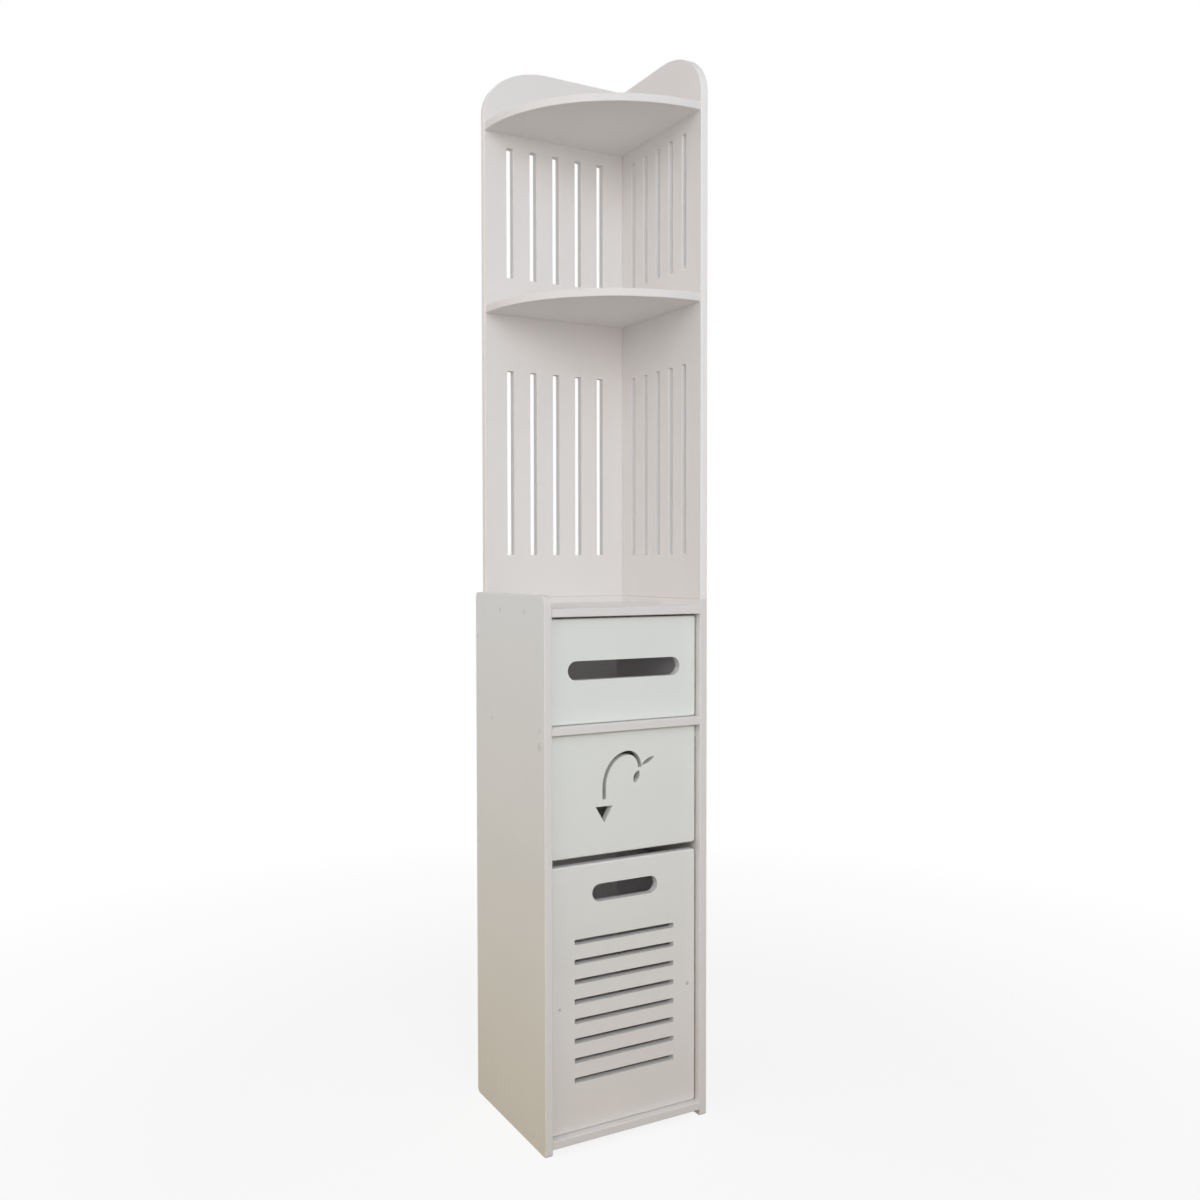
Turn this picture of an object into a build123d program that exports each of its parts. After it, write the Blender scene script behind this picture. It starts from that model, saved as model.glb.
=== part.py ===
"""Corner storage rack for a bathroom, in millimetres.

A narrow cabinet of foamed white board carries an open corner rack. The cabinet holds a
drawer for tissues, a swinging flap and a tall bin drawer behind a louvred front. The
rack above it has two slotted walls, one at the back and one on the right, and two
quarter-round shelves in the corner between them.

X runs along the front, Y from the front to the back, Z up. The origin is on the floor
under the middle of the rack. Every board is a separate solid in its own file.
"""

import os
from math import sqrt

from build123d import *

os.makedirs("parts", exist_ok=True)

# Boards and overall plan
board = 9.0
inner_width = 185.0
depth = 180.0
soft_edge = 1.0
panel_corner = 6.0
panel_front_corner = 10.0
panel_toe_corner = 3.0

# Heights, stacked from the floor
foot_lift = 7.0
bin_bay = 428.0
tissue_bay = 115.0
lower_bay = 337.0
upper_bay = 200.0
rim_height = 68.0
side_rise = 14.0
seam_rise = 7.0

# Rounded shoulder at the free top corner of each tall wall
shoulder_run = 82.0
shoulder_drop = 57.0

# Quarter-round shelves
shelf_setback = 1.5

# Slots in the two tall walls
slots_per_row = 5
slot_width = 8.8
slot_corner = 1.5
back_slot_pitch = 30.0
side_slot_pitch = 28.0
slot_above_top_board = 57.0
slot_below_middle_shelf = 64.5
slot_above_middle_shelf = 34.0
slot_below_top_shelf = 15.5

# Fronts of the drawers and the flap
front_recess = 8.0
front_side_gap = 1.4
front_foot_gap = 0.4
front_top_gap = 2.2
front_corner = 3.0
front_soft_edge = 2.0

# Tissue drawer
tissue_slot_length = 140.0
tissue_slot_height = 20.5
tissue_wall_height = 70.0

# Bin drawer
front_screw_rise = 135.0
bin_wall_drop = 22.7
handle_length = 82.0
handle_height = 19.2
handle_drop = 32.7
louvre_length = 125.0
louvre_height = 5.8
louvre_corner = 1.2
louvre_pitch = 21.3
louvre_drop = 82.5
louvre_margin = 50.0

# Both drawer boxes
wall_inset = 6.0
drawer_floor = 5.0
slide_gap = 0.3
drawer_back_gap = 3.0

# Swinging flap on its two pivot screws
flap_height = 131.6
flap_gap = 8.0
flap_corner = 4.0
pivot_drop = 12.0
swing_gap = 0.5
pivot_radius = 2.0
pivot_head_radius = 4.0
pivot_head_depth = 2.0
pivot_grip = 16.0
pivot_fit = 0.05
pivot_head_gap = 0.3
washer_radius = 4.2
washer_gap = 0.2

# Arrow cut through the flap
arrow_foot_drop = 6.3
arrow_stem_offset = 26.0
arrow_stem_straight = 12.0
arrow_left_run = 30.0
arrow_left_rise = 36.0
arrow_right_run = 14.5
arrow_right_drop = 17.0
arrow_stroke = 4.5
arrow_bridge = 7.5
arrow_head_width = 21.0
arrow_head_length = 18.0
long_barb_gap = 2.0
long_barb_run = 17.0
long_barb_rise = 9.0
long_barb_width = 4.4
short_barb_shift = 1.0
short_barb_gap = 3.0
short_barb_run = 6.0
short_barb_drop = 13.5
short_barb_width = 7.0

# Countersunk board screws
screw_radius = 1.5
screw_head_radius = 3.0
screw_head_depth = 1.8
screw_length = 30.0
screw_fit = 0.05
drawer_screw_radius = 1.1
drawer_screw_head_radius = 2.1
drawer_screw_head_depth = 1.2
drawer_screw_length = 24.0
drawer_screw_margin = 14.0
floor_screw_offset = 32.0

# Where the board screws sit, from the front edge, the middle or the floor
bottom_screw_places = (30.0, 140.0)
divider_screw_places = (12.5, 133.0)
top_screw_places = (48.0, 111.0)
shelf_side_screw_places = (60.0, 130.0)
back_screw_offset = 45.0
lower_end_screw_heights = (60.0, 300.0)
upper_end_screw_heights = (885.0, 1100.0)
seam_screw_drop = 44.0
seam_screw_rise = 56.0

# Dowels that hold the drawer fronts and line up the upper boards on the lower ones
dowel_radius = 2.5
dowel_length = 20.0
dowel_depth_in_front = 6.0
dowel_fit = 0.05
dowel_end_margin = 14.0
seam_dowel_length = 30.0
seam_dowel_pitch = 65.0

# Levels and faces that follow from the sizes above
bottom_top = foot_lift + board
divider_under = bottom_top + bin_bay
divider_top = divider_under + board
top_board_under = divider_top + tissue_bay
top_board_top = top_board_under + board
middle_shelf_under = top_board_top + lower_bay
middle_shelf_top = middle_shelf_under + board
top_shelf_under = middle_shelf_top + upper_bay
top_shelf_top = top_shelf_under + board
rack_top = top_shelf_top + rim_height
left_panel_top = top_board_top + side_rise
seam = top_board_top + seam_rise

right_in = inner_width / 2
left_in = -right_in
right_out = right_in + board
left_out = -right_out
back_out = depth / 2
back_in = back_out - board
front_edge = -depth / 2

front_face = front_edge + front_recess
front_back_face = front_face + board
front_width = inner_width - 2 * front_side_gap
wall_outer = front_width / 2 - wall_inset
wall_inner = wall_outer - board
wall_middle = (wall_inner + wall_outer) / 2
drawer_back_out = back_in - drawer_back_gap
drawer_back_in = drawer_back_out - board
drawer_back_middle = (drawer_back_in + drawer_back_out) / 2
back_wall_middle = back_in + board / 2

pivot_height = divider_under - pivot_drop
flap_middle = front_face + board / 2
flap_reach = sqrt((pivot_drop - swing_gap) ** 2 - (board / 2) ** 2)
flap_top = pivot_height + flap_reach
flap_bottom = flap_top - flap_height

tissue_base = divider_top + slide_gap
tissue_front_bottom = divider_top + front_foot_gap
tissue_front_height = tissue_bay - front_foot_gap - front_top_gap
bin_base = bottom_top + slide_gap
bin_front_bottom = bottom_top + front_foot_gap
bin_front_top = flap_bottom - flap_gap
bin_wall_height = bin_front_top - bin_wall_drop - bin_base
bin_front_height = bin_front_top - bin_front_bottom
louvre_count = 1 + int((bin_front_height - louvre_drop - louvre_margin) / louvre_pitch)


def save(node, *pieces):
    """Write one node as parts/NODE.step; a node of several solids is one compound."""
    solids = [piece.solid() for piece in pieces]
    shape = solids[0] if len(solids) == 1 else Compound(solids)
    shape.label = node
    export_step(shape, f"parts/{node}.step")


def rectangle(low_u, high_u, low_v, high_v):
    """A rectangle between two places on each axis of its drawing plane."""
    middle = Pos((low_u + high_u) / 2, (low_v + high_v) / 2)
    return middle * Rectangle(high_u - low_u, high_v - low_v)


def across(outline, y_front, thickness=board):
    """Extrude a front view, drawn in X and Z, backwards from y_front."""
    plane = Plane((0, y_front, 0), x_dir=(1, 0, 0), z_dir=(0, -1, 0))
    return extrude(plane * outline, amount=-thickness)


def along(outline, x_left, thickness=board):
    """Extrude a side view, drawn in Y and Z, to the right from x_left."""
    plane = Plane((x_left, 0, 0), x_dir=(0, 1, 0), z_dir=(1, 0, 0))
    return extrude(plane * outline, amount=thickness)


def level(outline, z_low, thickness=board):
    """Extrude a plan view, drawn in X and Y, upwards from z_low."""
    return extrude(Pos(0, 0, z_low) * outline, amount=thickness)


def rounded_corner(outline, u, v, radius):
    """Round the corner of an outline that lies at one place."""
    return fillet(outline.vertices().sort_by_distance((u, v, 0))[0], radius)


def soften_faces(solid, axis, radius=soft_edge):
    """Ease the outline edges of an upright board on both of its faces."""
    faces = solid.faces().sort_by(axis)
    edges = faces[0].outer_wire().edges() + faces[-1].outer_wire().edges()
    return fillet(edges, radius)


def soften_front(solid):
    """Ease the edges round the foremost face of a drawer front."""
    front = solid.faces().sort_by(Axis.Y)[0]
    return fillet(front.outer_wire().edges(), front_soft_edge)


def soften_top(solid):
    """Ease the two long upper edges of an upright board that meets another above it."""
    top = solid.faces().sort_by(Axis.Z)[-1]
    return fillet(top.edges().filter_by(Axis.X), soft_edge)


def soften_nose(solid):
    """Ease the upper and lower edges along the front of a level board."""
    front = solid.faces().sort_by(Axis.Y)[0]
    return fillet(front.edges().filter_by(Axis.X), soft_edge)


def countersunk(length, radius, head_radius, head_depth, extra):
    """A countersunk screw along -Z with its head flush at Z 0, grown all round by extra."""
    point = 2 * radius
    profile = Polyline(
        (0, extra),
        (head_radius + extra, extra),
        (radius + extra, -head_depth),
        (radius + extra, point - length),
        (0, -length - extra),
        close=True,
    )
    return revolve(Plane.XZ * make_face(profile), Axis.Z)


def board_screw(extra=0.0):
    """The long screw that joins two boards of the rack."""
    return countersunk(screw_length, screw_radius, screw_head_radius, screw_head_depth, extra)


def drawer_screw(extra=0.0):
    """The slim screw that joins the boards of a drawer box."""
    head = drawer_screw_head_radius
    head_depth = drawer_screw_head_depth
    return countersunk(drawer_screw_length, drawer_screw_radius, head, head_depth, extra)


def front_dowel(extra=0.0):
    """A plain dowel along -Z that starts its own depth inside a drawer front."""
    middle = Pos(0, 0, dowel_depth_in_front - dowel_length / 2)
    return middle * Cylinder(dowel_radius + extra, dowel_length + 2 * extra)


def seam_dowel(extra=0.0):
    """A plain dowel that stands half in the lower board and half in the upper one."""
    return Cylinder(dowel_radius + extra, seam_dowel_length + 2 * extra)


def facing(side, x, y, z):
    """A place on the named side of the rack, whose own -Z runs into the rack."""
    turns = {
        "left": (0, -90, 0),
        "right": (0, 90, 0),
        "back": (-90, 0, 0),
        "front": (90, 0, 0),
    }
    return Location((x, y, z), turns[side])


def at_places(fastener, places, extra=0.0):
    """One fastener at each of a list of places."""
    return [place * fastener(extra) for place in places]


def drilled(solid, fastener, places, fit=screw_fit):
    """A board with the clearance holes of a group of fasteners cut out of it."""
    return solid - at_places(fastener, places, fit)


# Places of the screws that hold the level boards between the two side panels
level_screw_spots = [
    (front_edge + place, under + board / 2)
    for under, places in (
        (foot_lift, bottom_screw_places),
        (divider_under, divider_screw_places),
        (top_board_under, top_screw_places),
    )
    for place in places
]
left_level_places = [facing("left", left_out, y, z) for y, z in level_screw_spots]
right_level_places = [facing("right", right_out, y, z) for y, z in level_screw_spots]
back_level_places = [
    facing("back", side * back_screw_offset, back_out, under + board / 2)
    for under in (foot_lift, divider_under, top_board_under)
    for side in (-1, 1)
]

# Places of the screws through the side panels into the ends of the back wall
lower_heights = [*lower_end_screw_heights, seam - seam_screw_drop]
upper_heights = [seam + seam_screw_rise, *upper_end_screw_heights]
left_end_places = [facing("left", left_out, back_wall_middle, z) for z in lower_heights]
right_end_places = [facing("right", right_out, back_wall_middle, z) for z in lower_heights]
upper_end_places = [facing("right", right_out, back_wall_middle, z) for z in upper_heights]

# Places of the screws through the two walls into the corner shelves
shelf_side_places = [
    facing("right", right_out, front_edge + place, under + board / 2)
    for under in (middle_shelf_under, top_shelf_under)
    for place in shelf_side_screw_places
]
shelf_back_places = [
    facing("back", side * back_screw_offset, back_out, under + board / 2)
    for under in (middle_shelf_under, top_shelf_under)
    for side in (-1, 1)
]

# Places of the dowels between the lower and upper boards of the two walls
back_seam_places = [
    Location((row * seam_dowel_pitch, back_wall_middle, seam)) for row in (-1, 0, 1)
]
right_seam_places = [
    Location((right_in + board / 2, row * seam_dowel_pitch, seam)) for row in (-1, 0, 1)
]

# Places of the flap's two pivots
pivot_places = [
    facing("left", left_out, flap_middle, pivot_height),
    facing("right", right_out, flap_middle, pivot_height),
]


def pivot_screw():
    """A pivot along -Z: flat head, plain shank through the panel and a point in the flap."""
    end = -(board + front_side_gap + pivot_grip)
    profile = Polyline(
        (0, 0),
        (pivot_head_radius, 0),
        (pivot_head_radius, -pivot_head_depth),
        (pivot_radius, -pivot_head_depth),
        (pivot_radius, end + pivot_radius),
        (0, end),
        close=True,
    )
    return revolve(Plane.XZ * make_face(profile), Axis.Z)


def pivot_hole():
    """The running hole and counterbore for one pivot screw."""
    reach = board + front_side_gap + pivot_grip + pivot_fit
    shank_hole = Pos(0, 0, -reach / 2) * Cylinder(pivot_radius + pivot_fit, reach)
    head_hole = Pos(0, 0, -pivot_head_depth / 2) * Cylinder(
        pivot_head_radius + pivot_head_gap, pivot_head_depth
    )
    return shank_hole + head_hole


def spacer_washer():
    """A washer in the gap between the side panel and the flap."""
    thickness = front_side_gap - 2 * washer_gap
    ring = Circle(washer_radius) - Circle(pivot_radius + pivot_fit)
    return extrude(Pos(0, 0, -board - washer_gap) * ring, amount=-thickness)


def slot_rows(pitch, low, high):
    """The outlines of one row of upright slots between two heights."""
    outline = RectangleRounded(slot_width, high - low, slot_corner)
    first = -pitch * (slots_per_row - 1) / 2
    return [Pos(first + index * pitch, (low + high) / 2) * outline for index in range(slots_per_row)]


def all_slots(pitch):
    """Both rows of slots: one below the middle shelf and one above it."""
    lower = slot_rows(
        pitch, top_board_top + slot_above_top_board, middle_shelf_under - slot_below_middle_shelf
    )
    upper = slot_rows(
        pitch, middle_shelf_top + slot_above_middle_shelf, top_shelf_under - slot_below_top_shelf
    )
    return Sketch() + lower + upper


def shouldered(free, corner):
    """The outline of an upper wall: square in the corner, an elliptical shoulder at the free end."""
    inward = 1 if corner > free else -1
    spring = rack_top - shoulder_drop
    crown = free + inward * shoulder_run
    side = Polyline((crown, rack_top), (corner, rack_top), (corner, seam), (free, seam), (free, spring))
    shoulder = EllipticalCenterArc(
        (crown, spring), shoulder_run, shoulder_drop, start_angle=90, arc_size=90 * inward
    )
    return make_face(side.edges() + shoulder.edges())


# Tall back wall: a lower board behind the cabinet and an upper board with slots
back_lower = soften_top(across(rectangle(left_in, right_in, foot_lift, seam), back_in))
back_lower = drilled(back_lower, board_screw, back_level_places + left_end_places + right_end_places)
back_lower = drilled(back_lower, seam_dowel, back_seam_places, dowel_fit)

back_upper = soften_faces(across(shouldered(left_in, right_in), back_in), Axis.Y)
back_upper = back_upper - across(all_slots(back_slot_pitch), back_in)
back_upper = drilled(back_upper, board_screw, shelf_back_places + upper_end_places)
back_upper = drilled(back_upper, seam_dowel, back_seam_places, dowel_fit)

# Tall right wall: the cabinet's right side and an upper board with slots
right_lower_outline = rectangle(front_edge, back_out, 0, seam)
right_lower_outline = rounded_corner(right_lower_outline, front_edge, 0, panel_toe_corner)
right_lower_outline = rounded_corner(right_lower_outline, back_out, 0, panel_corner)
right_lower = soften_faces(along(right_lower_outline, right_in), Axis.X)
right_lower = drilled(right_lower, board_screw, right_level_places + right_end_places)
right_lower = drilled(right_lower, seam_dowel, right_seam_places, dowel_fit)
right_lower = right_lower - pivot_places[1] * pivot_hole()

right_upper = soften_faces(along(shouldered(front_edge, back_out), right_in), Axis.X)
right_upper = right_upper - along(all_slots(side_slot_pitch), right_in)
right_upper = drilled(right_upper, board_screw, shelf_side_places + upper_end_places)
right_upper = drilled(right_upper, seam_dowel, right_seam_places, dowel_fit)

# Left side panel of the cabinet
left_outline = rectangle(front_edge, back_out, 0, left_panel_top)
left_outline = rounded_corner(left_outline, front_edge, left_panel_top, panel_front_corner)
left_outline = rounded_corner(left_outline, back_out, left_panel_top, panel_corner)
left_outline = rounded_corner(left_outline, front_edge, 0, panel_toe_corner)
left_outline = rounded_corner(left_outline, back_out, 0, panel_corner)
left_side = soften_faces(along(left_outline, left_out), Axis.X)
left_side = drilled(left_side, board_screw, left_level_places + left_end_places)
left_side = left_side - pivot_places[0] * pivot_hole()

save("back_panel_lower", back_lower)
save("back_panel_upper", back_upper)
save("right_side_panel_lower", right_lower)
save("right_side_panel_upper", right_upper)
save("left_side_panel", left_side)

# Level boards of the cabinet, all of one outline
level_screw_places = left_level_places + right_level_places + back_level_places
for node, under in (
    ("bottom_board", foot_lift),
    ("divider_board", divider_under),
    ("top_board", top_board_under),
):
    level_board = soften_nose(level(rectangle(left_in, right_in, front_edge, back_in), under))
    save(node, drilled(level_board, board_screw, level_screw_places))

# Quarter-round shelves in the corner of the two walls
shelf_run = inner_width - shelf_setback
shelf_reach = depth - board - shelf_setback
shelf_straights = Polyline(
    (right_in, back_in - shelf_reach), (right_in, back_in), (right_in - shelf_run, back_in)
)
shelf_curve = EllipticalCenterArc(
    (right_in, back_in), shelf_run, shelf_reach, start_angle=180, arc_size=90
)
shelf_outline = make_face(shelf_straights.edges() + shelf_curve.edges())
for node, under in (
    ("middle_corner_shelf", middle_shelf_under),
    ("top_corner_shelf", top_shelf_under),
):
    shelf = level(shelf_outline, under)
    curved_face = shelf.faces().filter_by(GeomType.PLANE, reverse=True)[0]
    shelf = fillet(curved_face.edges().filter_by(GeomType.ELLIPSE), soft_edge)
    save(node, drilled(shelf, board_screw, shelf_side_places + shelf_back_places))

# Fasteners of the rack, one node for each group
save("left_board_screws", *at_places(board_screw, left_level_places))
save("right_board_screws", *at_places(board_screw, right_level_places))
save("back_board_screws", *at_places(board_screw, back_level_places))
save("lower_wall_screws", *at_places(board_screw, left_end_places + right_end_places))
save("upper_wall_screws", *at_places(board_screw, upper_end_places))
save("shelf_screws", *at_places(board_screw, shelf_side_places + shelf_back_places))

save("seam_dowels", *at_places(seam_dowel, back_seam_places + right_seam_places))


def drawer(name, front, wall_height, base, front_screw_places):
    """Write one drawer: its drilled front, two side walls, back, floor and fasteners."""
    dowel_places = [
        facing("front", side * wall_middle, front_back_face, z)
        for side in (-1, 1)
        for z in (base + dowel_end_margin, base + wall_height - dowel_end_margin)
    ]
    wall_screw_spots = [
        (drawer_back_middle, base + drawer_screw_margin),
        (drawer_back_middle, base + wall_height - drawer_screw_margin),
        (-floor_screw_offset, base + drawer_floor / 2),
        (floor_screw_offset, base + drawer_floor / 2),
    ]
    left_places = [facing("left", -wall_outer, y, z) for y, z in wall_screw_spots]
    right_places = [facing("right", wall_outer, y, z) for y, z in wall_screw_spots]
    screw_places = left_places + right_places + front_screw_places

    def finished(solid):
        """A board of this drawer with all the fastener holes that reach into it."""
        holed = drilled(solid, drawer_screw, screw_places)
        return drilled(holed, front_dowel, dowel_places, dowel_fit)

    wall_outline = rectangle(front_back_face, drawer_back_out, base, base + wall_height)
    back_outline = rectangle(-wall_inner, wall_inner, base, base + wall_height)
    floor_outline = rectangle(-wall_inner, wall_inner, front_back_face, drawer_back_in)
    save(f"{name}_front", finished(front))
    save(f"{name}_left_side", finished(along(wall_outline, -wall_outer)))
    save(f"{name}_right_side", finished(along(wall_outline, wall_inner)))
    save(f"{name}_back", finished(across(back_outline, drawer_back_in)))
    save(f"{name}_floor", finished(level(floor_outline, base, drawer_floor)))
    save(f"{name}_screws", *at_places(drawer_screw, screw_places))
    save(f"{name}_dowels", *at_places(front_dowel, dowel_places))


# Tissue drawer, with one long slot in its front
tissue_front_middle = Pos(0, tissue_front_bottom + tissue_front_height / 2)
tissue_front = across(
    tissue_front_middle * RectangleRounded(front_width, tissue_front_height, front_corner), front_face
)
tissue_bay_middle = Pos(0, divider_top + tissue_bay / 2)
tissue_slot = tissue_bay_middle * SlotOverall(tissue_slot_length, tissue_slot_height)
tissue_front = soften_front(tissue_front) - across(tissue_slot, front_face)
drawer("tissue_drawer", tissue_front, tissue_wall_height, tissue_base, [])

# Bin drawer, with a handle slot over a row of louvre slots
bin_front_middle = Pos(0, bin_front_bottom + bin_front_height / 2)
bin_front = across(
    bin_front_middle * RectangleRounded(front_width, bin_front_height, front_corner), front_face
)
handle_slot = Pos(0, bin_front_top - handle_drop) * SlotOverall(handle_length, handle_height)
louvres = [
    Pos(0, bin_front_top - louvre_drop - index * louvre_pitch)
    * RectangleRounded(louvre_length, louvre_height, louvre_corner)
    for index in range(louvre_count)
]
bin_front = soften_front(bin_front) - across(Sketch() + handle_slot + louvres, front_face)
bin_front_screw_places = [
    facing("front", side * wall_middle, front_face, bin_front_bottom + front_screw_rise)
    for side in (-1, 1)
]
drawer("bin_drawer", bin_front, bin_wall_height, bin_base, bin_front_screw_places)


def bent_stroke(foot_x, foot_z):
    """The arrow's shaft: a straight foot, a long quarter ellipse up and a short one down."""
    half = arrow_stroke / 2
    bend_z = foot_z + arrow_stem_straight
    crown_x = foot_x + arrow_left_run
    crown_z = bend_z + arrow_left_rise
    end_x = crown_x + arrow_right_run
    end_z = crown_z - arrow_right_drop
    outer_left = EllipticalCenterArc(
        (crown_x, bend_z), arrow_left_run + half, arrow_left_rise + half, 90, arc_size=90
    )
    inner_left = EllipticalCenterArc(
        (crown_x, bend_z), arrow_left_run - half, arrow_left_rise - half, 90, arc_size=90
    )
    outer_right = EllipticalCenterArc(
        (crown_x, end_z), arrow_right_run + half, arrow_right_drop + half, 0, arc_size=90
    )
    inner_right = EllipticalCenterArc(
        (crown_x, end_z), arrow_right_run - half, arrow_right_drop - half, 0, arc_size=90
    )
    foot_left = foot_x - half
    foot_right = foot_x + half
    foot = Polyline(
        (foot_left, bend_z), (foot_left, foot_z), (foot_right, foot_z), (foot_right, bend_z)
    )
    end = Line((end_x - half, end_z), (end_x + half, end_z))
    curves = [outer_left, inner_left, outer_right, inner_right, foot, end]
    outline = make_face([edge for curve in curves for edge in curve.edges()])
    return outline, end_x, end_z


def leaf(start_x, start_z, run, rise, width):
    """A pointed leaf between two points, drawn with two equal arcs."""
    start = (start_x, start_z)
    end = (start_x + run, start_z + rise)
    sides = [SagittaArc(start, end, width / 2), SagittaArc(end, start, width / 2)]
    return make_face([edge for side in sides for edge in side.edges()])


def arrow():
    """The bent arrow that is cut through the flap, with bridges between its pieces."""
    foot_x = -arrow_stem_offset
    foot_z = flap_bottom + flap_height / 2 - arrow_foot_drop
    shaft, end_x, end_z = bent_stroke(foot_x, foot_z)
    head_top = foot_z - arrow_bridge
    head = Polyline(
        (foot_x - arrow_head_width / 2, head_top),
        (foot_x + arrow_head_width / 2, head_top),
        (foot_x, head_top - arrow_head_length),
        close=True,
    )
    long_barb = leaf(
        end_x + long_barb_gap, end_z + long_barb_gap, long_barb_run, long_barb_rise, long_barb_width
    )
    short_barb = leaf(
        end_x - short_barb_shift, end_z - short_barb_gap, -short_barb_run, -short_barb_drop,
        short_barb_width,
    )
    return Sketch() + [shaft, make_face(head.edges()), long_barb, short_barb]


# Swinging flap between the tissue drawer and the bin drawer
flap_outline = rectangle(-front_width / 2, front_width / 2, flap_bottom, flap_top)
for side in (-1, 1):
    flap_outline = rounded_corner(flap_outline, side * front_width / 2, flap_bottom, flap_corner)
flap = soften_faces(across(flap_outline, front_face), Axis.Y, front_soft_edge)
flap = flap - across(arrow(), front_face)
flap = flap - [place * pivot_hole() for place in pivot_places]
save("trash_flap", flap)
save("flap_pivot_screws", *[place * pivot_screw() for place in pivot_places])
save("flap_spacer_washers", *[place * spacer_washer() for place in pivot_places])
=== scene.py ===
# %% [markdown]
# # A corner storage rack of foamed board
#
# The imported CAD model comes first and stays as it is: every board, drawer, flap and
# dowel keeps its shape and its place. This script gives each of them a finish, cuts the
# cross recesses and threads of the screws, and puts the rack on a pale floor in front of
# a camera that stands where the photograph was taken from. Everything is in metres.

# %% Load the frame
import math

import bpy
import numpy as np
from mathutils import Matrix, Vector


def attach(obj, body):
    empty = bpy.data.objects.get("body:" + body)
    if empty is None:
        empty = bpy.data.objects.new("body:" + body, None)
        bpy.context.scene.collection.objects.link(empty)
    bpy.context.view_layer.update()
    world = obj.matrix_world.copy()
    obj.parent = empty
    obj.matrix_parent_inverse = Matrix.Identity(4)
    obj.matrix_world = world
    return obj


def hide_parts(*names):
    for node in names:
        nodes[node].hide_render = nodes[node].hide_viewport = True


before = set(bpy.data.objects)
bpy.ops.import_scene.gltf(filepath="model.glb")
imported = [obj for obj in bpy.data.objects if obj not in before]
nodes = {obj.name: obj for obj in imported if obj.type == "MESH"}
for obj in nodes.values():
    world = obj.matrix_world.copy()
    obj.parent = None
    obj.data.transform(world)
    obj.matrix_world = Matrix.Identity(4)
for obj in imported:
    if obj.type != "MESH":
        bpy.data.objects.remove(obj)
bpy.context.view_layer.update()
scene = bpy.context.scene
scene.view_settings.view_transform = "Standard"


# %% [markdown]
# ## The camera
#
# The photograph was taken from the left of the front, with the lens about half way up the
# rack and very nearly level, which is why all uprights stay parallel in it. The place, the
# turn and the focal length come from a program that fitted a pinhole camera to the corners
# of the boards. A camera looks along its own -Z, so the turn is built from the viewing
# direction and then rolled a little about it.

# %% Camera
EYE = Vector((-0.6302, -1.1585, 0.6240))
YAW = math.radians(29.10)
PITCH = math.radians(-1.81)
ROLL = math.radians(-0.07)
FOCAL_PIXELS = 1154.6
PHOTO_PIXELS = 1200
SENSOR_MM = 36.0
FARTHEST = 50.0

looking = Vector(
    (math.sin(YAW) * math.cos(PITCH), math.cos(YAW) * math.cos(PITCH), math.sin(PITCH))
)
camera_data = bpy.data.cameras.new("photo_camera")
camera_data.sensor_width = SENSOR_MM
camera_data.lens = FOCAL_PIXELS / PHOTO_PIXELS * SENSOR_MM
camera_data.clip_end = FARTHEST
camera = bpy.data.objects.new("photo_camera", camera_data)
scene.collection.objects.link(camera)
turn = looking.to_track_quat("-Z", "Y").to_matrix().to_4x4()
camera.matrix_world = Matrix.Translation(EYE) @ turn @ Matrix.Rotation(ROLL, 4, "Z")
scene.camera = camera
print("camera lens mm", round(camera_data.lens, 2), "at", tuple(EYE))


# %% [markdown]
# ## Shader maths as plain Python
#
# A finish is easier to read as a formula than as a list of nodes and links. `Value` wraps
# one output socket; adding, multiplying or comparing values adds the Math nodes behind
# the scenes. `Finish` holds one material and makes any other node from its type, its
# settings and its inputs.

# %% Shader helpers
class Value:
    """One number that varies over a surface; operators add Math nodes."""

    def __init__(self, finish, socket):
        self.finish = finish
        self.socket = socket

    def _math(self, operation, *others):
        sockets = {index: other for index, other in enumerate((self, *others))}
        return self.finish.node("ShaderNodeMath", {"operation": operation}, sockets)

    def __add__(self, other):
        return self._math("ADD", other)

    def __mul__(self, other):
        return self._math("MULTIPLY", other)

    def __rsub__(self, other):
        return (self * -1.0)._math("ADD", other)

    def __abs__(self):
        return self._math("ABSOLUTE")

    def ramp(self, low, high):
        """0 at low, 1 at high, straight between and held outside."""
        settings = {"clamp": True}
        inputs = {"Value": self, "From Min": low, "From Max": high}
        return self.finish.node("ShaderNodeMapRange", settings, inputs, "Result")


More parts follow.
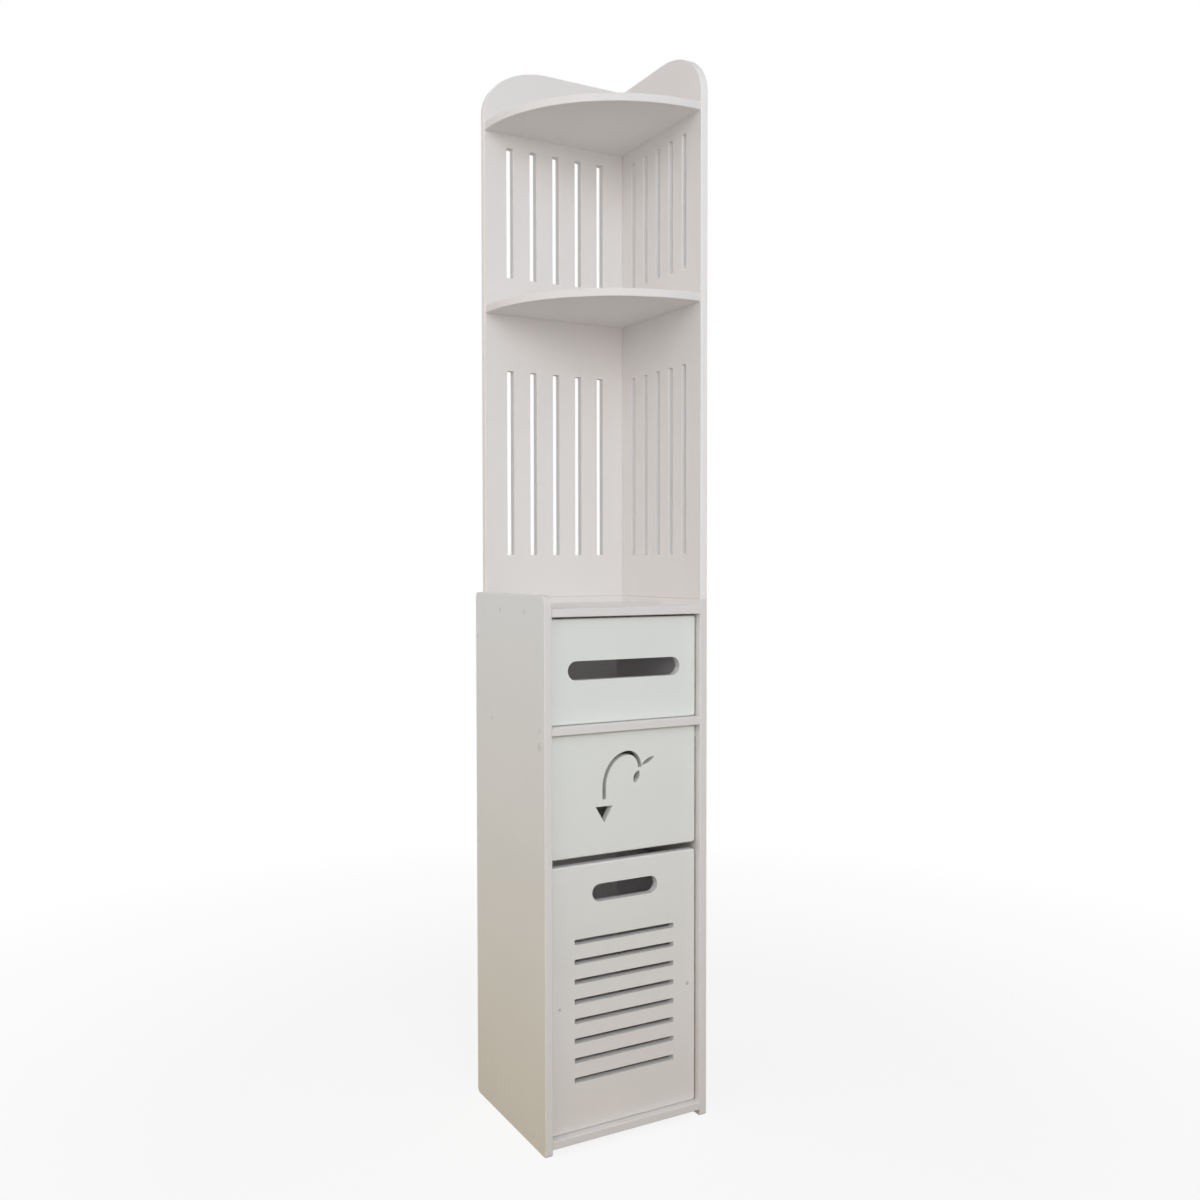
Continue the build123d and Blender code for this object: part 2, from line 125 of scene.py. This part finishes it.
class Finish:
    """One material whose surface is a Principled shader, with helpers for its nodes."""

    def __init__(self, name, **constants):
        self.material = bpy.data.materials.new(name)
        self.material.use_nodes = True
        self.tree = self.material.node_tree
        self.shader = self.tree.nodes["Principled BSDF"]
        for socket, value in constants.items():
            self.shader.inputs[socket.replace("_", " ")].default_value = value

    def node(self, kind, settings=None, inputs=None, output=0):
        """Any node: settings are set first, then each input gets a value or a link."""
        made = self.tree.nodes.new(kind)
        for name, value in (settings or {}).items():
            setattr(made, name, value)
        for name, value in (inputs or {}).items():
            if isinstance(value, Value):
                self.tree.links.new(value.socket, made.inputs[name])
            else:
                made.inputs[name].default_value = value
        return Value(self, made.outputs[output])

    def place(self):
        """The piece's own coordinates, in metres."""
        return self.node("ShaderNodeTexCoord", output="Object")

    def axes(self):
        """The three coordinates of the place as separate values."""
        split = self.node("ShaderNodeSeparateXYZ", inputs={0: self.place()})
        outputs = split.socket.node.outputs
        return [Value(self, outputs[index]) for index in range(3)]

    def noise(self, scale, detail=2.0, roughness=0.5, stretch=None):
        """Soft noise from 0 to 1; scale is in features per metre."""
        where = self.place()
        if stretch is not None:
            where = self.node("ShaderNodeMapping", inputs={"Vector": where, "Scale": stretch})
        inputs = {"Vector": where, "Scale": scale, "Detail": detail, "Roughness": roughness}
        return self.node("ShaderNodeTexNoise", inputs=inputs, output="Fac")

    def mix(self, amount, first, second):
        """A colour between two colours."""
        settings = {"data_type": "RGBA"}
        inputs = {0: amount, 6: first, 7: second}
        return self.node("ShaderNodeMix", settings, inputs, 2)

    def bump(self, height, distance, strength):
        """A bumped normal from a height of 0 to 1 that stands for a distance in metres."""
        inputs = {"Height": height, "Distance": distance, "Strength": strength}
        return self.node("ShaderNodeBump", inputs=inputs)

    def feed(self, **values):
        """Link values to sockets of the shader; underscores stand for spaces."""
        for socket, value in values.items():
            self.tree.links.new(value.socket, self.shader.inputs[socket.replace("_", " ")])
        return self.material


def dress(material, *names):
    """Give CAD nodes one material in every slot."""
    for name in names:
        slots = nodes[name].material_slots
        for slot in slots:
            slot.material = material
        print("dressed", name, "with", material.name)


# %% [markdown]
# ## Foamed board
#
# The rack is cut from 9 mm foamed PVC board: a smooth, dull skin on both faces with a
# faint pebbled texture from the rollers, and cut edges where the foam's cells lie open and
# look duller. The colour is a pale grey-white that drifts slightly over a board. Light and
# shade are painted into it: the level boards, the cabinet's side and its fronts get lighter
# copies of the white as painted light, the side's and fronts' a touch greener; the side and
# fronts turn darker and yellower towards the bottom as painted shade; and the walls of
# slots and the cut edges of the drawer boxes and fronts are painted lighter than sawn
# edges. The drawer boxes have a white of their own. Skin and cut edge are told apart by the
# direction a face points in: a board's skin faces point along its thin axis. The direction
# is read in the piece's own space, so it stays right when the flap swings.

# %% Foamed board finish
RACK_WHITE = (0.780, 0.768, 0.752)
# Painted light: the level boards get a lighter copy of the board white.
LEVEL_PAINTED_LIGHT_WHITE = (0.830, 0.818, 0.802)
BOX_WHITE = (0.780, 0.770, 0.785)
# Painted light: the fronts and the side get lighter, greener copies of the board white.
FRONT_PAINTED_LIGHT_WHITE = (0.806, 0.840, 0.812)
# Painted shade: the darker, warmer colour the fronts turn to low down.
FRONT_PAINTED_SHADE_LOW = (0.788, 0.770, 0.745)
SIDE_PAINTED_LIGHT_WHITE = (0.815, 0.848, 0.843)
# Painted shade: the darker, yellower colour the side turns to low down.
SIDE_PAINTED_SHADE_LOW = (0.797, 0.778, 0.668)
CUT_EDGE = (0.765, 0.758, 0.744)
# Painted light: slot walls, the drawer boxes' cut edges and the fronts' cut edges are lighter
# than other cut edges.
CUT_EDGE_PAINTED_LIGHT = (0.880, 0.870, 0.855)
FRONT_CUT_PAINTED_LIGHT = (0.780, 0.780, 0.760)
DEEPER = 0.965
CLOUD_RANGE = (0.3, 0.7)
FINE_RANGE = (0.25, 0.75)
# Height below which the painted shade low down is full.
PAINTED_SHADE_FULL_HEIGHT = 0.04
SKIN_TURN = (0.55, 0.85)
BOARD_RELIEF = 0.00006
SKIN_ROUGHNESS = 0.46
EDGE_ROUGHER = 0.2
THIN_AXES = {"x": 0, "y": 1, "z": 2}


def opaque(colour, factor=1.0):
    """A colour times a factor, with full alpha."""
    return (*[channel * factor for channel in colour], 1.0)


def foam_board(name, thin_axis, white, painted_shade_colour=None, top=0.6, cut=CUT_EDGE, cloud_scale=7.0):
    """White clouded by a deeper white, turning to painted shade low down; cut edges by
    direction.
    """
    board = Finish(name, IOR=1.46)
    cloud = board.noise(cloud_scale, detail=3.0).ramp(*CLOUD_RANGE)
    fine = board.noise(60.0, detail=4.0, roughness=0.6).ramp(*FINE_RANGE)
    clouds = cloud * 0.75 + fine * 0.25
    skin_colour = board.mix(clouds, opaque(white), opaque(white, DEEPER))
    # Painted shade: below the given height the colour turns to a darker, warmer one.
    if painted_shade_colour is not None:
        painted_low_colour = board.mix(clouds, opaque(painted_shade_colour), opaque(painted_shade_colour, DEEPER))
        painted_shade_amount = board.axes()[2].ramp(top, PAINTED_SHADE_FULL_HEIGHT)
        skin_colour = board.mix(painted_shade_amount, skin_colour, painted_low_colour)

    facing = board.node("ShaderNodeTexCoord", output="Normal")
    parts = board.node("ShaderNodeSeparateXYZ", inputs={0: facing}).socket.node.outputs
    skin = abs(Value(board, parts[THIN_AXES[thin_axis]])).ramp(*SKIN_TURN)
    colour = board.mix(skin, opaque(cut), skin_colour)

    pebbles = board.noise(900.0, detail=2.0)
    cells = board.noise(2600.0, detail=2.0, roughness=0.7)
    height = pebbles * skin + cells * (1.0 - skin)
    normal = board.bump(height, distance=BOARD_RELIEF, strength=0.35)
    roughness = fine * 0.06 + SKIN_ROUGHNESS + (1.0 - skin) * EDGE_ROUGHER
    return board.feed(Base_Color=colour, Roughness=roughness, Normal=normal)


level_board = foam_board("foam_board_level", "z", LEVEL_PAINTED_LIGHT_WHITE)
across_board = foam_board("foam_board_across", "y", RACK_WHITE)
along_board = foam_board("foam_board_along", "x", RACK_WHITE)
slotted_across = foam_board("foam_board_slotted_across", "y", RACK_WHITE, cut=CUT_EDGE_PAINTED_LIGHT)
slotted_along = foam_board("foam_board_slotted_along", "x", RACK_WHITE, cut=CUT_EDGE_PAINTED_LIGHT)
left_board = foam_board("foam_board_left", "x", SIDE_PAINTED_LIGHT_WHITE, SIDE_PAINTED_SHADE_LOW)
front_board = foam_board("foam_board_front", "y", FRONT_PAINTED_LIGHT_WHITE, FRONT_PAINTED_SHADE_LOW, 0.4, FRONT_CUT_PAINTED_LIGHT, 9.0)
box_level = foam_board("foam_board_box_level", "z", BOX_WHITE, cut=CUT_EDGE_PAINTED_LIGHT)
box_across = foam_board("foam_board_box_across", "y", BOX_WHITE, cut=CUT_EDGE_PAINTED_LIGHT)
box_along = foam_board("foam_board_box_along", "x", BOX_WHITE, cut=CUT_EDGE_PAINTED_LIGHT)

dress(level_board, "bottom_board", "divider_board", "top_board")
dress(level_board, "middle_corner_shelf", "top_corner_shelf")
dress(box_level, "tissue_drawer_floor", "bin_drawer_floor")
dress(across_board, "back_panel_lower")
dress(box_across, "tissue_drawer_back", "bin_drawer_back")
dress(slotted_across, "back_panel_upper")
dress(along_board, "right_side_panel_lower")
dress(slotted_along, "right_side_panel_upper")
dress(left_board, "left_side_panel")
dress(box_along, "tissue_drawer_left_side", "tissue_drawer_right_side")
dress(box_along, "bin_drawer_left_side", "bin_drawer_right_side")
dress(front_board, "tissue_drawer_front", "bin_drawer_front", "trash_flap")


# %% [markdown]
# ## Small finishes
#
# The drawer screws are zinc plated steel: a cool grey metal with fine turning marks and a
# little cloudiness. The rack's own screws and the flap's pivots have white coated heads
# that hardly show on the boards. The dowels are beech, with grain along their length, and
# the washers that keep the flap off the side panels are plain nylon.

# %% Screw, dowel and washer finishes
ZINC = ((0.60, 0.60, 0.59, 1.0), (0.50, 0.50, 0.505, 1.0))
WHITE_COAT = ((0.74, 0.73, 0.71, 1.0), (0.70, 0.69, 0.67, 1.0))
BEECH = ((0.58, 0.38, 0.20, 1.0), (0.42, 0.25, 0.12, 1.0))
NYLON = ((0.74, 0.73, 0.69, 1.0), (0.68, 0.67, 0.63, 1.0))
GRAIN_RANGE = (0.3, 0.75)


def zinc():
    """Plated steel: roughness from fine noise, colour between two cool greys."""
    metal = Finish("zinc_plated_steel", Metallic=1.0)
    cloud = metal.noise(500.0, detail=3.0).ramp(*CLOUD_RANGE)
    colour = metal.mix(cloud, *ZINC)
    marks = metal.noise(3000.0, detail=2.0)
    normal = metal.bump(marks, distance=0.00003, strength=0.3)
    return metal.feed(Base_Color=colour, Roughness=cloud * 0.12 + 0.3, Normal=normal)


def white_coat():
    """Coated steel: a white close to the board's, a little glossier, with a faint cloud."""
    coat = Finish("white_coated_steel", IOR=1.5)
    cloud = coat.noise(400.0, detail=3.0).ramp(*CLOUD_RANGE)
    colour = coat.mix(cloud, *WHITE_COAT)
    normal = coat.bump(coat.noise(2500.0), distance=0.00002, strength=0.3)
    return coat.feed(Base_Color=colour, Roughness=cloud * 0.08 + 0.34, Normal=normal)


def beech(name, stretch):
    """Beech: grain noise stretched along the dowel."""
    wood = Finish(name, IOR=1.45)
    noise = wood.noise(500.0, detail=4.0, roughness=0.6, stretch=stretch)
    grain = noise.ramp(*GRAIN_RANGE)
    colour = wood.mix(grain, *BEECH)
    normal = wood.bump(grain, distance=0.00008, strength=0.4)
    return wood.feed(Base_Color=colour, Roughness=grain * 0.1 + 0.55, Normal=normal)


def nylon():
    """Natural nylon: milky, with a faint cloud and fine moulding texture."""
    plastic = Finish("natural_nylon", IOR=1.53)
    cloud = plastic.noise(300.0, detail=2.0).ramp(*CLOUD_RANGE)
    colour = plastic.mix(cloud, *NYLON)
    normal = plastic.bump(plastic.noise(2500.0), distance=0.00003, strength=0.3)
    return plastic.feed(Base_Color=colour, Roughness=cloud * 0.08 + 0.38, Normal=normal)


zinc_steel = zinc()
coated_steel = white_coat()
dress(zinc_steel, "tissue_drawer_screws", "bin_drawer_screws")
dress(coated_steel, "left_board_screws", "right_board_screws", "back_board_screws")
dress(coated_steel, "lower_wall_screws", "upper_wall_screws", "shelf_screws")
dress(coated_steel, "flap_pivot_screws")
dress(beech("beech_along_y", (1.0, 0.08, 1.0)), "tissue_drawer_dowels", "bin_drawer_dowels")
dress(beech("beech_upright", (1.0, 1.0, 0.08)), "seam_dowels")
dress(nylon(), "flap_spacer_washers")


# %% [markdown]
# ## Screws with a cross recess and a thread
#
# In the CAD model a screw is a plain cone on a plain pin. The real one has a cross recess
# in its head and a thread that cuts into the board. Head, neck, thread and point are one
# surface over a grid: the columns run round the screw, and the rows run from the middle
# of the head out to its rim, down the neck and along the shank to the point. The crest of
# the thread has the CAD pin's radius, so no screw grows out of its hole.

# %% Screw sizes
MM = 0.001
COLUMNS = 48
HEAD_ROWS = 14
ROWS_PER_TURN = 5
CORE_SHARE = 0.72
RECESS_SOFTNESS = 0.25 * MM
RIM_RECESS_SHARE = 0.5
FIRST_RING_SHARE = 0.08
THREAD_SHARPNESS = 1.6
POINT_IN_RADII = 2

BOARD_SCREW = {
    "neck": ((3.0, 0.0), (1.5, 1.8)),
    "length": 30.0,
    "pitch": 1.6,
    "thread_from": 8.0,
    "arm": (1.3, 0.28),
    "recess_depth": 0.5,
}
DRAWER_SCREW = {
    "neck": ((2.1, 0.0), (1.1, 1.2)),
    "length": 24.0,
    "pitch": 1.2,
    "thread_from": 5.0,
    "arm": (1.25, 0.3),
    "recess_depth": 0.85,
}
PIVOT_SCREW = {
    "neck": ((3.98, 0.0), (3.98, 1.95), (1.97, 1.95)),
    "length": 26.4,
    "pitch": 1.6,
    "thread_from": 11.0,
    "arm": (2.2, 0.5),
    "recess_depth": 1.4,
}


# %% Screw surface
def cross(x, y, arm_length, arm_half_width):
    """1 inside two crossed bars and 0 outside, sloping over the recess's softness."""

    def bar(along, sideways):
        wide = np.clip((arm_half_width - np.abs(sideways)) / RECESS_SOFTNESS + 0.5, 0, 1)
        return wide * np.clip((arm_length - np.abs(along)) / RECESS_SOFTNESS + 0.5, 0, 1)

    return np.maximum(bar(x, y), bar(y, x))


def screw_points(kind):
    """The screw along -Z with its head at height 0.

    Head: height is minus the recess depth times the cross, shallower towards the rim.
    Shank: radius falls from the crest to the core and back as a triangle wave of
    depth / pitch + angle / full turn, which is a right-hand helix.
    """
    turn = np.linspace(0, 2 * np.pi, COLUMNS, endpoint=False)[None, :]
    neck = np.array(kind["neck"]) * MM
    pitch = kind["pitch"] * MM
    length = kind["length"] * MM
    crest = neck[-1, 0]
    arm_length, arm_half_width = np.array(kind["arm"]) * MM

    share = np.linspace(FIRST_RING_SHARE, 1.0, HEAD_ROWS)[:, None]
    x = share * neck[0, 0] * np.cos(turn)
    y = share * neck[0, 0] * np.sin(turn)
    recess = kind["recess_depth"] * MM * cross(x, y, arm_length, arm_half_width)
    head = np.stack([x, y, -recess * (1 - RIM_RECESS_SHARE * share)], axis=2)

    shank_end = length - POINT_IN_RADII * crest
    depth = np.arange(neck[-1, 1], shank_end, pitch / ROWS_PER_TURN)[:, None]
    wave = 1 - np.abs(2 * ((depth / pitch + turn / (2 * np.pi)) % 1) - 1)
    threaded = np.clip((depth - kind["thread_from"] * MM) / pitch, 0, 1)
    valley = (1 - np.clip(THREAD_SHARPNESS * wave, 0, 1)) * threaded
    radius = crest * (1 - (1 - CORE_SHARE) * valley)
    shank = np.stack([radius * np.cos(turn), radius * np.sin(turn), 0 * radius - depth], axis=2)

    rings = [head]
    for ring_radius, ring_depth in neck[1:-1]:
        ring = [ring_radius * np.cos(turn), ring_radius * np.sin(turn), 0 * turn - ring_depth]
        rings.append(np.stack(ring, axis=2))
    rows = np.concatenate([*rings, shank])
    middle = [[0.0, 0.0, -kind["recess_depth"] * MM]]
    return np.concatenate([middle, rows.reshape(-1, 3), [[0.0, 0.0, -length]]])


def screw_faces(point_count):
    """Quads between the rows and a fan of triangles at the recess and at the point."""
    row_count = (point_count - 2) // COLUMNS
    here = 1 + np.arange(row_count * COLUMNS).reshape(row_count, COLUMNS)
    beside = np.roll(here, -1, axis=1)
    quads = np.stack([here[:-1], here[1:], beside[1:], beside[:-1]], axis=2).reshape(-1, 4)
    first = np.stack([0 * here[0], here[0], beside[0]], axis=1)
    last = np.stack([here[-1], 0 * here[-1] + point_count - 1, beside[-1]], axis=1)
    return quads, np.concatenate([first, last])


# %% Screws in place of the plain ones
OUTWARD = {"left": (-1, 0, 0), "right": (1, 0, 0), "back": (0, 1, 0), "front": (0, -1, 0)}
HEAD_SLICE = 0.01 * MM
HEAD_REACH = 9 * MM
SHARP_EDGE = math.radians(35)


def head_middles(node, outward):
    """The middle of each head that faces outward, read off the rims of the CAD node."""
    mesh = nodes[node].data
    points = np.empty(len(mesh.vertices) * 3)
    mesh.vertices.foreach_get("co", points)
    points = points.reshape(-1, 3)
    height = points @ outward
    rims = points[height > height.max() - HEAD_SLICE]
    middles = []
    while len(rims):
        near = np.linalg.norm(rims - rims[0], axis=1) < HEAD_REACH
        middles.append((rims[near].min(axis=0) + rims[near].max(axis=0)) / 2)
        rims = rims[~near]
    return middles


def threaded_screws(node, body, kind, sides, material):
    """One object with a detailed screw at every head of a CAD screw node."""
    shape = screw_points(kind)
    quads, fans = screw_faces(len(shape))
    up = np.array((0.0, 0.0, 1.0))
    points, faces = [], []
    for side in sides:
        outward = np.array(OUTWARD[side], dtype=float)
        axes = np.stack([np.cross(up, outward), up, outward])
        for middle in head_middles(node, outward):
            offset = len(points) * len(shape)
            points.append(shape @ axes + middle)
            faces.extend((quads + offset).tolist())
            faces.extend((fans + offset).tolist())
    mesh = bpy.data.meshes.new(node + "_threaded")
    mesh.from_pydata(np.concatenate(points).tolist(), [], faces)
    mesh.shade_smooth()
    mesh.set_sharp_from_angle(angle=SHARP_EDGE)
    mesh.materials.append(material)
    made = bpy.data.objects.new(node + "_threaded", mesh)
    scene.collection.objects.link(made)
    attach(made, body)
    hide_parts(node)
    print("screws", node, len(points), "faces", len(faces))


CARCASS_SCREWS = {
    "left_board_screws": ("left",),
    "right_board_screws": ("right",),
    "back_board_screws": ("back",),
    "lower_wall_screws": ("left", "right"),
    "upper_wall_screws": ("right",),
    "shelf_screws": ("right", "back"),
}
DRAWER_SCREWS = {"tissue_drawer": ("left", "right"), "bin_drawer": ("left", "right", "front")}

for node, sides in CARCASS_SCREWS.items():
    threaded_screws(node, "carcass", BOARD_SCREW, sides, coated_steel)
for body, sides in DRAWER_SCREWS.items():
    threaded_screws(body + "_screws", body, DRAWER_SCREW, sides, zinc_steel)
BOTH_SIDES = ("left", "right")
FLAP = "trash_flap_swing"
threaded_screws("flap_pivot_screws", FLAP, PIVOT_SCREW, BOTH_SIDES, coated_steel)


# %% [markdown]
# ## Floor, light and background
#
# The photograph is cut out on white. The floor is nearly the white of the background for
# camera and reflection rays, and keeps the rack's soft shadow; for all other rays it is a
# warm, darker floor near the rack and a pale one further away, which is one reason the
# boards grow darker and warmer towards the bottom; on the side and the fronts that
# darkening is also painted shade in their colour. The sky lights the rack softly from the
# front and from the left, and a few soft lamps give it direction.
#
# Part of the lamp table was not chosen by hand. A least-squares program, which compared
# one render for each lamp with flat parts of the photograph, gave the colours of
# front_lamp, left_lamp, high_left_lamp and near_lamp and the watts of front_lamp and
# near_lamp. All other strengths were set one by one.

# %% Floor and background
def grid_floor(half, step_count=40):
    """A flat square grid of the given half width at height 0."""
    line = np.linspace(-half, half, step_count + 1)
    x, y = np.meshgrid(line, line)
    points = np.stack([x.ravel(), y.ravel(), np.zeros(x.size)], axis=1)
    corner = np.arange(step_count * (step_count + 1)).reshape(step_count, step_count + 1)
    first = corner[:, :-1].ravel()
    width = step_count + 1
    faces = np.stack([first, first + 1, first + width + 1, first + width], axis=1)
    mesh = bpy.data.meshes.new("pale_floor")
    mesh.from_pydata(points.tolist(), [], faces.tolist())
    return mesh


def seen_directly(tree):
    """1 for camera, glossy and transmission rays, 0 for the rest."""
    rays = tree.nodes.new("ShaderNodeLightPath")
    first = tree.nodes.new("ShaderNodeMath")
    first.operation = "MAXIMUM"
    second = tree.nodes.new("ShaderNodeMath")
    second.operation = "MAXIMUM"
    tree.links.new(rays.outputs["Is Camera Ray"], first.inputs[0])
    tree.links.new(rays.outputs["Is Glossy Ray"], first.inputs[1])
    tree.links.new(first.outputs[0], second.inputs[0])
    tree.links.new(rays.outputs["Is Transmission Ray"], second.inputs[1])
    return second.outputs[0]


FLOOR_HALF = 14.0
DUST_SCALE = 3.0
FADE_START = 0.45
FADE_END = 1.3
NEAR_WHITE = 0.86
FLOOR_SEEN = ((0.88, 0.88, 0.88, 1.0), (0.85, 0.85, 0.85, 1.0))
BOUNCE_NEAR = (0.26, 0.18, 0.08, 1.0)
BOUNCE_FAR = (0.78, 0.79, 0.79, 1.0)
BOUNCE_REACH = (0.25, 1.5)

floor = bpy.data.objects.new("pale_floor", grid_floor(FLOOR_HALF))
scene.collection.objects.link(floor)
floor_finish = Finish("pale_floor", Roughness=0.9)
tree = floor_finish.tree
seen = Value(floor_finish, seen_directly(tree))
radius = floor_finish.node(
    "ShaderNodeVectorMath", {"operation": "LENGTH"}, {0: floor_finish.place()}, "Value"
)
dust = floor_finish.noise(DUST_SCALE, detail=3.0)
seen_colour = floor_finish.mix(dust, *FLOOR_SEEN)
bounce_colour = floor_finish.mix(radius.ramp(*BOUNCE_REACH), BOUNCE_NEAR, BOUNCE_FAR)
floor_finish.feed(Base_Color=floor_finish.mix(seen, bounce_colour, seen_colour))
whiteness = (radius.ramp(FADE_START, FADE_END) * (1.0 - NEAR_WHITE) + NEAR_WHITE) * seen
white = tree.nodes.new("ShaderNodeEmission")
blend = tree.nodes.new("ShaderNodeMixShader")
tree.links.new(whiteness.socket, blend.inputs[0])
tree.links.new(floor_finish.shader.outputs[0], blend.inputs[1])
tree.links.new(white.outputs[0], blend.inputs[2])
tree.links.new(blend.outputs[0], tree.nodes["Material Output"].inputs["Surface"])
floor.data.materials.append(floor_finish.material)


# %% Sky
class Sky(Finish):
    """The world's nodes, with the same helpers as a material."""

    def __init__(self, name):
        self.world = bpy.data.worlds.new(name)
        self.world.use_nodes = True
        self.tree = self.world.node_tree
        self.shader = self.tree.nodes["Background"]


SKY_LEFT = 0.14
SKY_FRONT = 0.70
SKY_EVEN = 0.12

sky = Sky("studio")
scene.world = sky.world
direction = sky.node("ShaderNodeTexCoord", output="Generated")
direction_parts = sky.node("ShaderNodeSeparateXYZ", inputs={0: direction}).socket.node.outputs
from_left = Value(sky, direction_parts[0]).ramp(0.0, -1.0)
from_front = Value(sky, direction_parts[1]).ramp(0.0, -1.0)
lens = Value(sky, seen_directly(sky.tree))
glow = from_left * SKY_LEFT + from_front * SKY_FRONT + SKY_EVEN
strength = glow * (1.0 - lens) + lens
sky.shader.inputs["Color"].default_value = (1.0, 1.0, 1.0, 1.0)
sky.tree.links.new(strength.socket, sky.shader.inputs["Strength"])


# %% Lamps
def soft_lamp(name, place, aim, width, power, colour):
    """A square area lamp at a place, turned towards an aim."""
    lamp = bpy.data.lights.new(name, "AREA")
    lamp.shape = "RECTANGLE"
    lamp.size = lamp.size_y = width
    lamp.energy = power
    lamp.color = colour
    holder = bpy.data.objects.new(name, lamp)
    scene.collection.objects.link(holder)
    toward = Vector(aim) - Vector(place)
    turned = toward.to_track_quat("-Z", "Y").to_matrix().to_4x4()
    holder.matrix_world = Matrix.Translation(Vector(place)) @ turned


RACK_MIDDLE = (0.0, 0.0, 0.7)
LAMPS = (
    ("front_lamp", (-0.6, -2.6, 1.2), 1.6, 17.85, (1.0, 0.883, 0.837)),
    ("left_lamp", (-2.6, -0.8, 1.6), 1.6, 15.5, (1.0, 0.881, 0.813)),
    ("high_left_lamp", (-2.6, 0.6, 2.4), 1.6, 8.5, (1.0, 0.861, 0.831)),
    ("back_left_lamp", (-2.0, 1.6, 1.5), 1.4, 5.0, (1.0, 0.90, 0.85)),
    ("near_lamp", (-0.5, -1.6, 1.6), 1.0, 4.67, (0.513, 0.758, 1.0)),
)
for name, place, width, watts, colour in LAMPS:
    soft_lamp(name, place, RACK_MIDDLE, width, watts, colour)
    print("lamp", name, "watts", watts)
